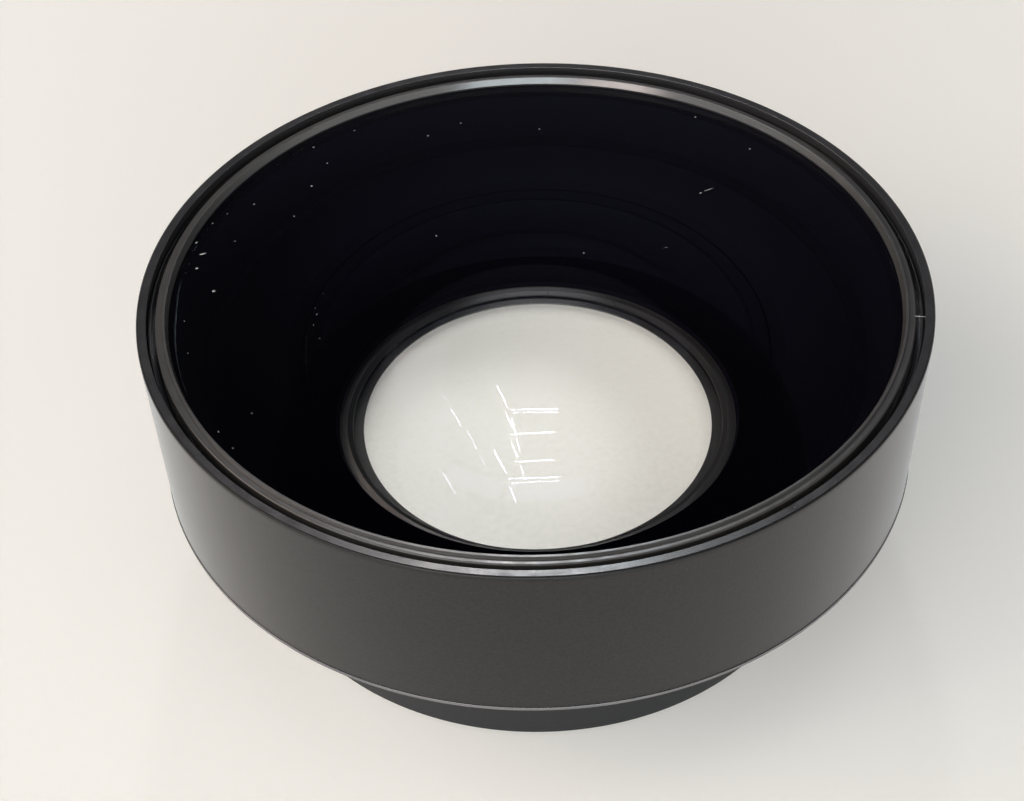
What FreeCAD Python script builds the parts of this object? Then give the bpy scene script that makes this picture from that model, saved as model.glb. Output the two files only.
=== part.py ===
"""Wide-angle conversion lens, 72 mm across and 32 mm tall.

A converter of three glasses in two groups: a large negative meniscus in front and a cemented positive
pair behind. It screws into a 49 mm adapter with the male thread at its rear, and it stands on the end
of that thread. Everything is turned, so each piece is a profile (radius, height) spun about Z.
Origin: on the optical axis, at the end of the rear thread. +Z points out of the front glass.
"""
import FreeCAD
import Part
import math
import os

Vector = FreeCAD.Vector

# Rear thread, and the smooth skirt that covers the adapter's rim
thread_r = 24.5
thread_length = 3.3
thread_wall = 1.3
thread_chamfer = 0.3
channel_width = 1.3
channel_roof = 0.3
skirt_wall = 0.9
foot_gap = 0.3
foot_chamfer = 0.15

# Rear cemented pair: a crown in front, a flint behind
rear_seat = 1.6
rear_vertex_z = 2.4
flint_thickness = 1.8
crown_edge = 1.048
crown_front_curve = 85.0
cement_curve = 110.0
flint_rear_curve = 140.0

# Front negative meniscus
front_lens_thickness = 3.0
front_curve = 250.0
front_rear_curve = 39.5
front_edge_height = 3.17
front_seat_step = 2.6
front_step_width = 1.2
front_rim_width = 1.3
front_lens_bevel = 0.12
front_foot_play = 0.7
front_foot_rise = 4.0

# Main barrel
neck_wall = 1.7
neck_cone_height = 2.2
boss_step = 4.3
boss_wall = 0.8
boss_height = 1.85
barrel_wall = 0.72
barrel_top_wall = 0.66
barrel_lip_wall = 0.2
ring_channel_depth = 1.2
flange_height = 2.3
flange_chamfer = 0.12
cavity_shoulder = 0.7
floor_thickness = 1.3
floor_lift = 1.815
shim_thickness = 0.2

# Front retaining ring
ring_skirt_length = 1.87
ring_lip_width = 0.46
ring_lean = 0.3
ring_rise = 0.88
ring_crest = 0.21
ring_groove_start = 0.3
ring_groove_end = 0.4
ring_shoulder_start = 0.47
ring_groove_depth = 0.19
ring_shoulder_drop = 0.042
ring_shoulder_round = 0.2
ring_inner_break = 0.075
front_gasket_thickness = 0.15

# Outer sleeve and base ring
rim_rise = 0.88
rim_gap = 0.07
rim_land = 0.9
rim_round = 0.3
sleeve_wall = 0.6
cushion_thickness = 0.2
base_ring_proud = 0.07
base_ring_edge = 0.3
base_ring_bevel = 1.47

# Rear cell, its retaining ring and its seal
cell_wall = 1.65
ring_width = 1.05
ring_lap = 0.4
ring_height = 1.05
ring_flare = 0.4
ring_flare_height = 0.75
rear_gasket_thickness = 0.25
cell_step_drop = 0.15
cell_rim = 0.526
lip_height = 0.6
lip_flare_height = 1.1
cell_shim_thickness = 0.15
stop_lip_width = 0.9
stop_lip_height = 1.25
o_ring_section = 0.7
o_ring_rise = 1.85
groove_height = 0.9

# Light baffle
baffle_steps = 6
baffle_top_gap = 1.3
baffle_lift = 0.5
baffle_flange = 1.0
baffle_tread = 0.3
baffle_wall = 0.8
baffle_socket = 0.6
snap_wire_r = 0.5
snap_gap_angle = 16

# Grub screws in the neck, and the pin that keys the sleeve to the barrel
grub_r = 0.8
grub_recess = 0.25
grub_rise = 1.55
grub_count = 3
socket_r = 0.4
socket_depth = 0.6
key_r = 0.6
key_rise = 2.05
key_depth = 1.0
key_reach = 0.3

# Clearances: a turned fit, a threaded fit and a loose one
fit_gap = 0.03
thread_gap = 0.05
loose_gap = 0.1

# How far a drill or a mill runs past the surface it cuts through
overrun = 1.0


def sag(curve, radius):
    """How far a sphere of that radius of curvature has dropped at a distance from its vertex."""
    return curve - math.sqrt(curve ** 2 - radius ** 2)


# Radii, from the thread outwards
thread_bore_r = thread_r - thread_wall
skirt_bore_r = thread_r + channel_width
neck_r = skirt_bore_r + skirt_wall
neck_bore_r = neck_r - neck_wall
cell_r = neck_bore_r - thread_gap
rear_lens_r = cell_r - cell_wall
rear_clear_r = rear_lens_r - rear_seat
rear_ring_r = rear_lens_r + ring_width
rear_ring_bore_r = rear_lens_r - ring_lap
stop_lip_r = cell_r - stop_lip_width
baffle_tube_r = neck_bore_r + baffle_socket
boss_r = neck_r + boss_step
cavity_r = boss_r - boss_wall
baffle_top_r = cavity_r - baffle_top_gap
snap_ring_r = cavity_r - snap_wire_r / 2
front_foot_r = cavity_r - front_foot_play
front_bowl_r = front_foot_r - front_rim_width
front_lens_r = boss_r + front_seat_step
front_step_r = front_lens_r - front_step_width
front_bore_r = front_lens_r + fit_gap
ring_clear_r = front_lens_r - ring_lip_width
barrel_r = front_bore_r + barrel_wall
front_ring_r = barrel_r - fit_gap
flange_r = front_ring_r + thread_gap + barrel_top_wall
rim_bore_r = flange_r + rim_gap
sleeve_top_r = rim_bore_r + rim_land
sleeve_bore_r = barrel_r + thread_gap
sleeve_bottom_r = sleeve_bore_r + sleeve_wall
base_ring_r = sleeve_bottom_r + base_ring_proud

# Heights, from the end of the thread up to the front vertex
channel_floor_z = thread_length + channel_roof
o_ring_z = channel_floor_z + o_ring_rise
grub_z = o_ring_z + grub_rise
flint_flat_z = rear_vertex_z + sag(flint_rear_curve, rear_clear_r)
cement_z = rear_vertex_z + flint_thickness
crown_edge_z = cement_z + sag(cement_curve, rear_lens_r) + crown_edge
crown_front_z = crown_edge_z + sag(crown_front_curve, rear_lens_r)
rear_ring_z = crown_front_z - sag(crown_front_curve, rear_ring_bore_r) + rear_gasket_thickness
rear_ring_top_z = rear_ring_z + ring_height
cell_top_z = rear_ring_top_z + cell_rim
stop_z = cell_top_z + cell_shim_thickness
stop_lip_top_z = stop_z + stop_lip_height
floor_z = stop_lip_top_z + floor_lift
underside_z = floor_z - floor_thickness
band_z = underside_z + boss_height
key_z = band_z + key_rise
snap_ring_z = floor_z + baffle_flange + snap_wire_r
front_foot_z = floor_z + front_foot_rise
baffle_top_z = front_foot_z - baffle_lift
cavity_top_z = front_foot_z + cavity_shoulder
front_rear_z = front_foot_z + sag(front_rear_curve, front_bowl_r)
front_vertex_z = front_rear_z + front_lens_thickness
front_edge_z = front_vertex_z - sag(front_curve, front_lens_r)
front_seat_z = front_edge_z - front_edge_height
shoulder_z = front_seat_z - shim_thickness
barrel_top_z = front_edge_z
ring_skirt_z = barrel_top_z - ring_skirt_length
flange_z = barrel_top_z - flange_height
sleeve_step_z = flange_z - cushion_thickness
rim_z = barrel_top_z + rim_rise
ring_top_z = barrel_top_z + ring_rise


def edge(start, end):
    """A straight edge between two (radius, height) points, in the XZ plane."""
    return Part.LineSegment(Vector(start[0], 0, start[1]), Vector(end[0], 0, end[1])).toShape()


def arc(start, middle, end):
    """A round edge through three (radius, height) points."""
    points = [Vector(p[0], 0, p[1]) for p in (start, middle, end)]
    return Part.Arc(*points).toShape()


def spin(edges):
    """Spins a closed profile once about the optical axis."""
    face = Part.Face(Part.Wire(Part.__sortEdges__(edges)))
    solid = face.revolve(Vector(0, 0, 0), Vector(0, 0, 1), 360)
    if solid.Volume < 0:
        solid.reverse()
    return solid


def turned(points):
    """A solid of revolution with straight sides, from its (radius, height) corners."""
    return spin([edge(a, b) for a, b in zip(points, points[1:] + points[:1])])


def dome(vertex_z, curve, radius, up):
    """The arc of a lens face from the axis out to a radius; up says which way it bulges."""
    side = -1 if up else 1
    half = radius / 2
    start = (0, vertex_z)
    middle = (half, vertex_z + side * sag(curve, half))
    end = (radius, vertex_z + side * sag(curve, radius))
    return arc(start, middle, end), end


def chain(points):
    """Straight edges along an open run of points."""
    return [edge(a, b) for a, b in zip(points, points[1:])]


def radial_rod(radius, inner, outer, height, angle):
    """A rod that points away from the axis, between two distances from it."""
    rod = Part.makeCylinder(radius, outer - inner, Vector(inner, 0, height), Vector(1, 0, 0))
    rod.rotate(Vector(0, 0, 0), Vector(0, 0, 1), angle)
    return rod


def grub_angles():
    """The screws' places round the neck, the first one straight at the back."""
    return [90 + i * 360 / grub_count for i in range(grub_count)]


def make_front_lens():
    """Gently curved in front, deeply hollowed behind, on a stepped and coned ground edge."""
    bevel_r = front_lens_r - front_lens_bevel
    front, front_end = dome(front_vertex_z, front_curve, bevel_r, True)
    bowl, bowl_end = dome(front_rear_z, front_rear_curve, front_bowl_r, True)
    side = chain([
        front_end,
        (front_lens_r, front_end[1] - front_lens_bevel),
        (front_lens_r, front_seat_z),
        (front_step_r, front_seat_z),
        (front_foot_r, front_foot_z),
        bowl_end,
    ])
    axis = edge((0, front_rear_z), (0, front_vertex_z))
    return spin([front, bowl, axis] + side)


def make_rear_crown_lens():
    """Bulges both ways, the cemented side the gentler one."""
    front, front_end = dome(crown_front_z, crown_front_curve, rear_lens_r, True)
    rear, rear_end = dome(cement_z, cement_curve, rear_lens_r, False)
    axis = edge((0, cement_z), (0, crown_front_z))
    return spin([front, rear, edge(front_end, rear_end), axis])


def make_rear_flint_lens():
    """Takes the crown in its hollow, and has a flat ground ring behind to seat on."""
    hollow, hollow_end = dome(cement_z, cement_curve, rear_lens_r, False)
    rear, rear_end = dome(rear_vertex_z, flint_rear_curve, rear_clear_r, False)
    side = chain([hollow_end, (rear_lens_r, flint_flat_z), rear_end])
    axis = edge((0, rear_vertex_z), (0, cement_z))
    return spin([hollow, rear, axis] + side)


def make_main_barrel():
    """One turned piece: a lip around the ring's channel, wall, floor, neck, and the skirt at its foot."""
    top_in_r = front_ring_r + thread_gap
    lip_in_r = flange_r - barrel_lip_wall
    channel_z = barrel_top_z - ring_channel_depth
    pocket_z = ring_skirt_z - loose_gap
    body = turned([
        (skirt_bore_r, foot_gap),
        (neck_r - foot_chamfer, foot_gap),
        (neck_r, foot_gap + foot_chamfer),
        (neck_r, underside_z - neck_cone_height),
        (boss_r, underside_z),
        (boss_r, band_z),
        (barrel_r, band_z),
        (barrel_r, flange_z),
        (flange_r, flange_z),
        (flange_r, barrel_top_z - flange_chamfer),
        (flange_r - flange_chamfer, barrel_top_z),
        (lip_in_r, barrel_top_z),
        (lip_in_r, channel_z),
        (top_in_r, channel_z),
        (top_in_r, pocket_z),
        (front_bore_r, pocket_z),
        (front_bore_r, shoulder_z),
        (front_step_r + loose_gap, shoulder_z),
        (cavity_r, cavity_top_z),
        (cavity_r, floor_z),
        (baffle_tube_r, floor_z),
        (baffle_tube_r, stop_lip_top_z),
        (stop_lip_r, stop_lip_top_z),
        (stop_lip_r, stop_z),
        (neck_bore_r, stop_z),
        (neck_bore_r, channel_floor_z),
        (skirt_bore_r, channel_floor_z),
    ])
    for angle in grub_angles():
        body = body.cut(radial_rod(grub_r + fit_gap, neck_bore_r - overrun, neck_r + overrun, grub_z, angle))
    body = body.cut(Part.makeTorus(snap_ring_r, snap_wire_r + fit_gap, Vector(0, 0, snap_ring_z)))
    return body.cut(radial_rod(key_r + fit_gap, barrel_r - key_depth, barrel_r + overrun, key_z, 90))


def make_outer_sleeve():
    """The tapered band: a flat rim, a rounded shoulder, and a step that hangs on the barrel's flange."""
    quarter = rim_round * math.sqrt(0.5)
    centre = (sleeve_top_r - rim_round, rim_z - rim_round)
    shoulder = arc((sleeve_top_r, centre[1]), (centre[0] + quarter, centre[1] + quarter), (centre[0], rim_z))
    straight = chain([
        (centre[0], rim_z),
        (rim_bore_r, rim_z),
        (rim_bore_r, sleeve_step_z),
        (sleeve_bore_r, sleeve_step_z),
        (sleeve_bore_r, band_z),
        (sleeve_bottom_r, band_z),
        (sleeve_top_r, centre[1]),
    ])
    body = spin([shoulder] + straight)
    slot_width = 2 * (key_r + loose_gap)
    slot_depth = key_reach + loose_gap
    slot_height = key_z + key_r + loose_gap - band_z
    slot = Part.makeBox(slot_width, slot_depth + overrun, slot_height,
                        Vector(-slot_width / 2, sleeve_bore_r - overrun, band_z))
    return body.cut(slot)


def make_sleeve_cushion_ring():
    """Thin soft ring between the sleeve's step and the barrel's flange."""
    return turned([
        (sleeve_bore_r, sleeve_step_z),
        (flange_r, sleeve_step_z),
        (flange_r, flange_z),
        (sleeve_bore_r, flange_z),
    ])


def make_base_ring():
    """Screws onto the boss from below and holds the sleeve up; its bright edge stands a little proud."""
    return turned([
        (boss_r + thread_gap, underside_z),
        (base_ring_r - base_ring_bevel, underside_z),
        (base_ring_r, band_z - base_ring_edge),
        (base_ring_r, band_z),
        (boss_r + thread_gap, band_z),
    ])


def make_front_retaining_ring():
    """Threaded skirt beside the glass, and a lip over its edge with a fine groove turned in its top."""
    lip_z = front_vertex_z - sag(front_curve, ring_clear_r) + front_gasket_thickness
    inner_z = front_vertex_z - sag(front_curve, front_bore_r) + front_gasket_thickness
    crest_r = ring_clear_r + ring_lean
    groove_z = ring_top_z - ring_groove_depth
    outer_z = ring_top_z - ring_shoulder_drop
    return turned([
        (ring_clear_r, lip_z),
        (crest_r - ring_inner_break, ring_top_z - ring_inner_break),
        (crest_r, ring_top_z),
        (crest_r + ring_crest, ring_top_z),
        (crest_r + ring_groove_start, groove_z),
        (crest_r + ring_groove_end, groove_z),
        (crest_r + ring_shoulder_start, outer_z),
        (front_ring_r - ring_shoulder_round, outer_z),
        (front_ring_r, outer_z - ring_shoulder_round),
        (front_ring_r, ring_skirt_z),
        (front_bore_r, ring_skirt_z),
        (front_bore_r, inner_z),
    ])


def make_front_lens_gasket():
    """Soft ring that the retaining ring's lip presses on the glass."""
    inner_r = ring_clear_r + fit_gap
    outer_r = front_lens_r - front_lens_bevel
    inner_z = front_vertex_z - sag(front_curve, inner_r)
    outer_z = front_vertex_z - sag(front_curve, outer_r)
    lift = front_gasket_thickness - fit_gap
    return turned([
        (inner_r, inner_z + fit_gap / 2),
        (outer_r, outer_z + fit_gap / 2),
        (outer_r, outer_z + lift),
        (inner_r, inner_z + lift),
    ])


def make_front_seat_shim():
    """Flat ring between the barrel's shoulder and the step of the front glass."""
    inner_r = front_step_r + loose_gap
    return turned([
        (inner_r, shoulder_z),
        (front_lens_r, shoulder_z),
        (front_lens_r, front_seat_z),
        (inner_r, front_seat_z),
    ])


def make_light_baffle():
    """Black stepped cone between the two groups, on a flange that rests on the barrel's floor."""
    outer_r = cavity_r - thread_gap
    foot_r = stop_lip_r
    foot_z = stop_lip_top_z
    rise = (baffle_top_z - foot_z) / baffle_steps
    run = (baffle_top_r - foot_r) / baffle_steps
    steps = []
    for i in range(baffle_steps):
        step_r = foot_r + i * run
        step_z = foot_z + i * rise
        steps += [(step_r, step_z), (step_r + run - baffle_tread, step_z + rise)]
    tube_r = baffle_tube_r - thread_gap
    flange_top_z = floor_z + baffle_flange
    wall_r = foot_r + run * (flange_top_z - foot_z) / rise + baffle_wall
    return turned(steps + [
        (baffle_top_r + baffle_tread, baffle_top_z),
        (wall_r, flange_top_z),
        (outer_r, flange_top_z),
        (outer_r, floor_z),
        (tube_r, floor_z),
        (tube_r, foot_z),
    ])


def make_baffle_snap_ring():
    """Open spring ring in a groove of the barrel, which keeps the baffle's flange down."""
    turn = 360 - snap_gap_angle
    ring = Part.makeTorus(snap_ring_r, snap_wire_r, Vector(0, 0, snap_ring_z), Vector(0, 0, 1), 0, 360, turn)
    ring.rotate(Vector(0, 0, 0), Vector(0, 0, 1), 90)
    return ring


def make_cell_seat_shim():
    """Thin ring between the rear cell and the stop lip in the neck."""
    return turned([
        (stop_lip_r, cell_top_z),
        (cell_r, cell_top_z),
        (cell_r, stop_z),
        (stop_lip_r, stop_z),
    ])


def make_rear_lens_cell():
    """Cup for the rear pair: a seat lip, a wall, a step for its ring, and the male thread below."""
    bore_r = rear_lens_r + fit_gap
    step_r = rear_ring_r + thread_gap
    step_z = rear_ring_z - cell_step_drop
    groove_r = cell_r - o_ring_section
    lip_z = flint_flat_z - lip_height
    return turned([
        (thread_bore_r, 0),
        (thread_r - thread_chamfer, 0),
        (thread_r, thread_chamfer),
        (thread_r, thread_length),
        (cell_r, thread_length),
        (cell_r, o_ring_z - groove_height / 2),
        (groove_r, o_ring_z - groove_height / 2),
        (groove_r, o_ring_z + groove_height / 2),
        (cell_r, o_ring_z + groove_height / 2),
        (cell_r, cell_top_z),
        (step_r, cell_top_z),
        (step_r, step_z),
        (bore_r, step_z),
        (bore_r, flint_flat_z),
        (rear_clear_r, flint_flat_z),
        (rear_clear_r, lip_z),
        (thread_bore_r, lip_z - lip_flare_height),
    ])


def make_rear_retaining_ring():
    """Screws down into the cell; its flared inside is the light ring seen round the opening."""
    return turned([
        (rear_ring_bore_r, rear_ring_z),
        (rear_ring_r, rear_ring_z),
        (rear_ring_r, rear_ring_top_z),
        (rear_ring_bore_r + ring_flare, rear_ring_top_z),
        (rear_ring_bore_r, rear_ring_top_z - ring_flare_height),
    ])


def make_rear_lens_gasket():
    """Soft ring between the crown's rim and its retaining ring."""
    inner_r = rear_ring_bore_r
    inner_z = crown_front_z - sag(crown_front_curve, inner_r)
    return turned([
        (inner_r, inner_z + fit_gap),
        (rear_lens_r, crown_edge_z + fit_gap),
        (rear_lens_r, rear_ring_z),
        (inner_r, rear_ring_z),
    ])


def make_cell_o_ring():
    """Round rubber ring in the cell's groove, just short of the neck's bore."""
    section_r = o_ring_section / 2 - fit_gap / 2
    centre_r = cell_r - o_ring_section / 2
    return Part.makeTorus(centre_r, section_r, Vector(0, 0, o_ring_z))


def make_cell_lock_screws():
    """Three socketed grub screws whose ends bear on the cell."""
    screws = []
    for angle in grub_angles():
        end = neck_r - grub_recess
        screw = radial_rod(grub_r, cell_r, end, grub_z, angle)
        socket = radial_rod(socket_r, end - socket_depth, end + overrun, grub_z, angle)
        screws.append(screw.cut(socket))
    return Part.makeCompound(screws)


def make_sleeve_key_pin():
    """Stands in the barrel's wall and reaches into the slot inside the sleeve."""
    return radial_rod(key_r, barrel_r - key_depth, sleeve_bore_r + key_reach, key_z, 90)


makers = {
    "front_lens": make_front_lens,
    "front_retaining_ring": make_front_retaining_ring,
    "front_lens_gasket": make_front_lens_gasket,
    "front_seat_shim": make_front_seat_shim,
    "outer_sleeve": make_outer_sleeve,
    "sleeve_cushion_ring": make_sleeve_cushion_ring,
    "sleeve_key_pin": make_sleeve_key_pin,
    "main_barrel": make_main_barrel,
    "base_ring": make_base_ring,
    "light_baffle": make_light_baffle,
    "baffle_snap_ring": make_baffle_snap_ring,
    "cell_seat_shim": make_cell_seat_shim,
    "rear_retaining_ring": make_rear_retaining_ring,
    "rear_lens_gasket": make_rear_lens_gasket,
    "rear_crown_lens": make_rear_crown_lens,
    "rear_flint_lens": make_rear_flint_lens,
    "rear_lens_cell": make_rear_lens_cell,
    "cell_o_ring": make_cell_o_ring,
    "cell_lock_screws": make_cell_lock_screws,
}

os.makedirs("parts", exist_ok=True)
for node, make in makers.items():
    shape = make()
    shape.exportStep("parts/" + node + ".step")
    print(node, "solids", len(shape.Solids), "volume mm3", round(shape.Volume, 1), "valid", shape.isValid())
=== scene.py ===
# %% [markdown]
# # A wide-angle conversion lens
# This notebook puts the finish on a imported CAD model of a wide-angle conversion lens: a fat negative
# front glass in a matte black band, over a narrow neck that screws into an adapter. Nothing on it moves,
# so every piece rides on the one body, root. Nearly every part of such a lens is made on a lathe, so the
# pieces here are profiles spun about the optical axis, worked out as whole arrays.

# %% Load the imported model
import bpy
import numpy as np
from mathutils import Matrix, Vector


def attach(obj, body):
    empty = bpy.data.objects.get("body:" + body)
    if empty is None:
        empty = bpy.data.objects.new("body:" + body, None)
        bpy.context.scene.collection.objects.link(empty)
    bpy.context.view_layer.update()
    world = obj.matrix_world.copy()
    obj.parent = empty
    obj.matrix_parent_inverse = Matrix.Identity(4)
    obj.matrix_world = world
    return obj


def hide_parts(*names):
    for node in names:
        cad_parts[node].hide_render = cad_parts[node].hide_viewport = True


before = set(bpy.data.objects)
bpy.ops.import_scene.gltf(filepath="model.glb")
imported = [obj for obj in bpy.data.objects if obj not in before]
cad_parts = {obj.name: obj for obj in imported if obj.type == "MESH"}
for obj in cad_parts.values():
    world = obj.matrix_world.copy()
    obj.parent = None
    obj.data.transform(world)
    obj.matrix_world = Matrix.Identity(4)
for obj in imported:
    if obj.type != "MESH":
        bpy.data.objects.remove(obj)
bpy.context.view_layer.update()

# %% [markdown]
# ## Sizes
# The sizes are in millimetres, as a maker would write them, and repeat those of the solids. They could be
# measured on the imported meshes, but those are rounded by a few thousandths. Blender's unit is the metre,
# so MM turns them into metres at the moment a mesh is made.

# %% Radii and heights of the solids
MM = 0.001
FIT_GAP, THREAD_GAP = 0.03, 0.05
SLEEVE_BORE_R, SLEEVE_TOP_R, BAND_Z, RIM_Z = 34.40, 36.0, 13.449, 30.352
BASE_BORE_R, BASE_R, BASE_FOOT_Z = 31.05, 35.07, 11.6
RING_LIP_R, RING_R, RING_FOOT_Z = 33.14, 34.32, 27.602
FRONT_LENS_R, FRONT_FOOT_Z, FRONT_VERTEX_Z = 33.6, 16.899, 31.739
SEAT_BORE_R, SEAT_Z, FRONT_SEAT_Z = 32.50, 26.102, 26.3016
CUSHION_FOOT_Z, CUSHION_TOP_Z = 26.972, 27.172
STOP_LIP_R, FLANGE_R, SKIRT_FOOT_Z, GROOVE_FLOOR_Z = 24.05, 35.03, 0.3, 29.472
BAFFLE_R, BAFFLE_FOOT_Z, BAFFLE_TOP_Z = 30.15, 11.083, 16.399
SNAP_R, SNAP_FOOT_Z, SNAP_TOP_Z = 30.45, 13.90, 14.90
REAR_CLEAR_R, CELL_R, CELL_TOP_Z, STOP_Z, SCREW_Z = 21.7, 24.95, 9.683, 9.833, 7.0
REAR_LENS_R, CEMENT_Z, CROWN_FRONT_Z, FLINT_REAR_Z = 23.3, 4.2, 11.0, 2.4
REAR_RING_BORE_R, REAR_RING_R, REAR_RING_Z, REAR_RING_TOP_Z = 22.9, 24.35, 8.107, 9.157
print("rim", 2 * SLEEVE_TOP_R, "mm across, front glass", FRONT_VERTEX_Z, "mm high")

# %% [markdown]
# ## Profiles
# A turned part has no truly sharp corner: the tool leaves a tiny round, and that round is what catches
# the light as a fine bright line. A Bevel modifier could add it, but here each corner is rounded in the
# profile itself, because then the exact surface direction is known at every point and shading is clean.

# %% A straight-sided profile with rounded corners
def rounded(corners, radius, closed=True, steps=5):
    """Points and surface directions along a profile whose corners are arcs.

    At each corner the arc touches both sides at radius / tan(half the corner's angle) from it. The
    surface direction turns evenly from one side's to the other's, and the point is the arc's centre
    plus the radius times that direction (minus it where the corner is hollow). No arc takes more than
    0.45 of a side. The metal is on the left of the direction of travel.
    """
    corners = np.array(corners, float)
    radius = np.broadcast_to(np.array(radius, float), len(corners)).copy()
    ahead = np.roll(corners, -1, axis=0) - corners
    length = np.linalg.norm(ahead, axis=1)
    ahead /= length[:, None]
    behind = np.roll(ahead, 1, axis=0)
    turn = np.arctan2(behind[:, 0] * ahead[:, 1] - behind[:, 1] * ahead[:, 0], (behind * ahead).sum(1))
    reach = 0.45 * np.minimum(length, np.roll(length, 1))
    radius = np.minimum(radius, reach / np.maximum(np.abs(np.tan(turn / 2)), 1e-6))
    first = np.arctan2(-behind[:, 0], behind[:, 1])
    angle = first[:, None] + turn[:, None] * np.linspace(0, 1, steps + 1)
    facing = np.stack([np.cos(angle), np.sin(angle)], axis=2)
    side = np.where(turn < 0, -1.0, 1.0)
    start = corners - behind * (radius * np.abs(np.tan(turn / 2)))[:, None]
    centre = start - (side * radius)[:, None] * facing[:, 0]
    points = centre[:, None, :] + (side * radius)[:, None, None] * facing
    if closed:
        points = points.reshape(-1, 2)
        facing = facing.reshape(-1, 2)
        return np.vstack([points, points[:1]]), np.vstack([facing, facing[:1]])
    points = np.vstack([corners[:1], points[1:-1].reshape(-1, 2), corners[-1:]])
    facing = np.vstack([facing[0, -1:], facing[1:-1].reshape(-1, 2), facing[-1, :1]])
    return points, facing


# %% [markdown]
# ## Lens faces
# A glass is ground against a tool of the opposite curve, so each face is part of a sphere. A UV sphere
# could be cut down to it, but the sphere's own formula gives every point and direction exactly.

# %% A spherical lens face
def sag(curve, radius):
    """How far a sphere falls away at a radius: curve - sqrt(curve squared - radius squared)."""
    return curve - np.sqrt(curve ** 2 - radius ** 2)


def dome(vertex_z, curve, rim_r, bulge, outward, steps=72):
    """Points and surface directions of a sphere's cap, from the axis out to a radius.

    The height is the vertex minus bulge times the sag. bulge is 1 for a cap that bulges up and -1 for
    one that bulges down; outward is 1 where the glass is inside the sphere.
    """
    radius = rim_r * np.sin(np.linspace(0, np.pi / 2, steps + 1))
    height = vertex_z - bulge * sag(curve, radius)
    centre_z = vertex_z - bulge * curve
    facing = outward * np.stack([radius, height - centre_z], axis=1) / curve
    return np.stack([radius, height], axis=1), facing


FRONT_CURVE = 250.0
print("the front glass drops", round(float(sag(FRONT_CURVE, FRONT_LENS_R)), 3), "mm from middle to edge")

# %% [markdown]
# ## From profile to mesh
# Blender's Screw modifier could spin the profile, but it knows nothing of exact surface directions. The
# grid of points is quick to work out directly, and a point on the axis becomes one shared pole, so each
# piece is closed.

# %% A mesh from arrays
def in_scene(name, data):
    """A new object with this data, linked to the scene."""
    item = bpy.data.objects.new(name, data)
    bpy.context.scene.collection.objects.link(item)
    return item


def new_piece(name, points, quads, fans, slots, directions):
    """A mesh object from arrays, with a surface direction for every face corner."""
    mesh = bpy.data.meshes.new(name)
    mesh.from_pydata((points * MM).tolist(), [], quads.tolist() + fans.tolist())
    mesh.polygons.foreach_set("use_smooth", np.ones(len(mesh.polygons), bool))
    mesh.polygons.foreach_set("material_index", slots.astype(np.int32))
    mesh.normals_split_custom_set(directions.tolist())
    mesh.update()
    return in_scene(name, mesh)


# %% Spin a chain of profile runs about the axis
def spin(name, runs, segments=288, extra=None):
    """Carries a closed profile once round the axis: x = radius cos(turn), y = radius sin(turn).

    runs is a list of (points, surface directions, material slot). Each run starts where the last one
    ended, and where the directions differ there the edge is sharp. A profile that starts and ends on
    the axis gets one pole at each end; any other ends where it began. extra joins the faces of flecks().
    """
    points = np.vstack([runs[0][0][:1]] + [run[0][1:] for run in runs])
    begin = np.vstack([run[1][:-1] for run in runs])
    end = np.vstack([run[1][1:] for run in runs])
    slot = np.concatenate([np.broadcast_to(run[2], len(run[0]) - 1) for run in runs])
    poles = points[0, 0] < 1e-9
    ring = points[1:-1] if poles else points[:-1]
    count = len(ring)
    turn = np.linspace(0, 2 * np.pi, segments, endpoint=False)
    circle = np.stack([np.cos(turn), np.sin(turn)], axis=1)
    grid = np.empty((count, segments, 3))
    grid[..., :2] = ring[:, None, :1] * circle[None]
    grid[..., 2] = ring[:, 1:]
    here = np.arange(segments)
    after = np.roll(here, -1)

    def around(directions, which):
        flat = np.empty((len(directions), segments, 3))
        flat[..., :2] = directions[:, None, :1] * circle[which][None]
        flat[..., 2] = directions[:, 1:]
        return flat

    if poles:
        low = np.arange(count - 1) * segments
        high = low + segments
        middle = slice(1, -1)
    else:
        low = np.arange(count) * segments
        high = np.roll(low, -1)
        middle = slice(None)
    quads = np.stack([low[:, None] + here, low[:, None] + after,
                      high[:, None] + after, high[:, None] + here], 2)
    corner = np.stack([around(begin[middle], here), around(begin[middle], after),
                       around(end[middle], after), around(end[middle], here)], 2)
    vertices = grid.reshape(-1, 3)
    directions = corner.reshape(-1, 3)
    slots = np.repeat(slot[middle], segments)
    fans = np.empty((0, 3), int)
    if poles:
        bottom, top = len(vertices), len(vertices) + 1
        vertices = np.vstack([vertices, [[0, 0, points[0, 1]], [0, 0, points[-1, 1]]]])
        last = (count - 1) * segments
        fans = np.vstack([np.stack([np.full(segments, bottom), after, here], 1),
                          np.stack([np.full(segments, top), last + here, last + after], 1)])
        axis_low = np.tile([0, 0, np.sign(begin[0, 1])], (segments, 1))
        axis_high = np.tile([0, 0, np.sign(end[-1, 1])], (segments, 1))
        first_ring, last_ring = around(end[:1], after)[0], around(begin[-1:], here)[0]
        directions = np.vstack([
            directions,
            np.stack([axis_low, first_ring, around(end[:1], here)[0]], 1).reshape(-1, 3),
            np.stack([axis_high, last_ring, around(begin[-1:], after)[0]], 1).reshape(-1, 3)])
        slots = np.concatenate([slots, np.full(segments, slot[0]), np.full(segments, slot[-1])])
    quads = quads.reshape(-1, 4)
    if extra is not None:
        flat = 4 * len(quads)
        directions = np.vstack([directions[:flat], extra[2], directions[flat:]])
        slots = np.concatenate([slots[:len(quads)], extra[3], slots[len(quads):]])
        quads = np.vstack([quads, extra[1] + len(vertices)])
        vertices = np.vstack([vertices, extra[0]])
    piece = new_piece(name, vertices, quads, fans, slots, directions)
    print(f"{name}: {len(vertices)} points, {len(slots)} faces")
    return piece


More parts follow.
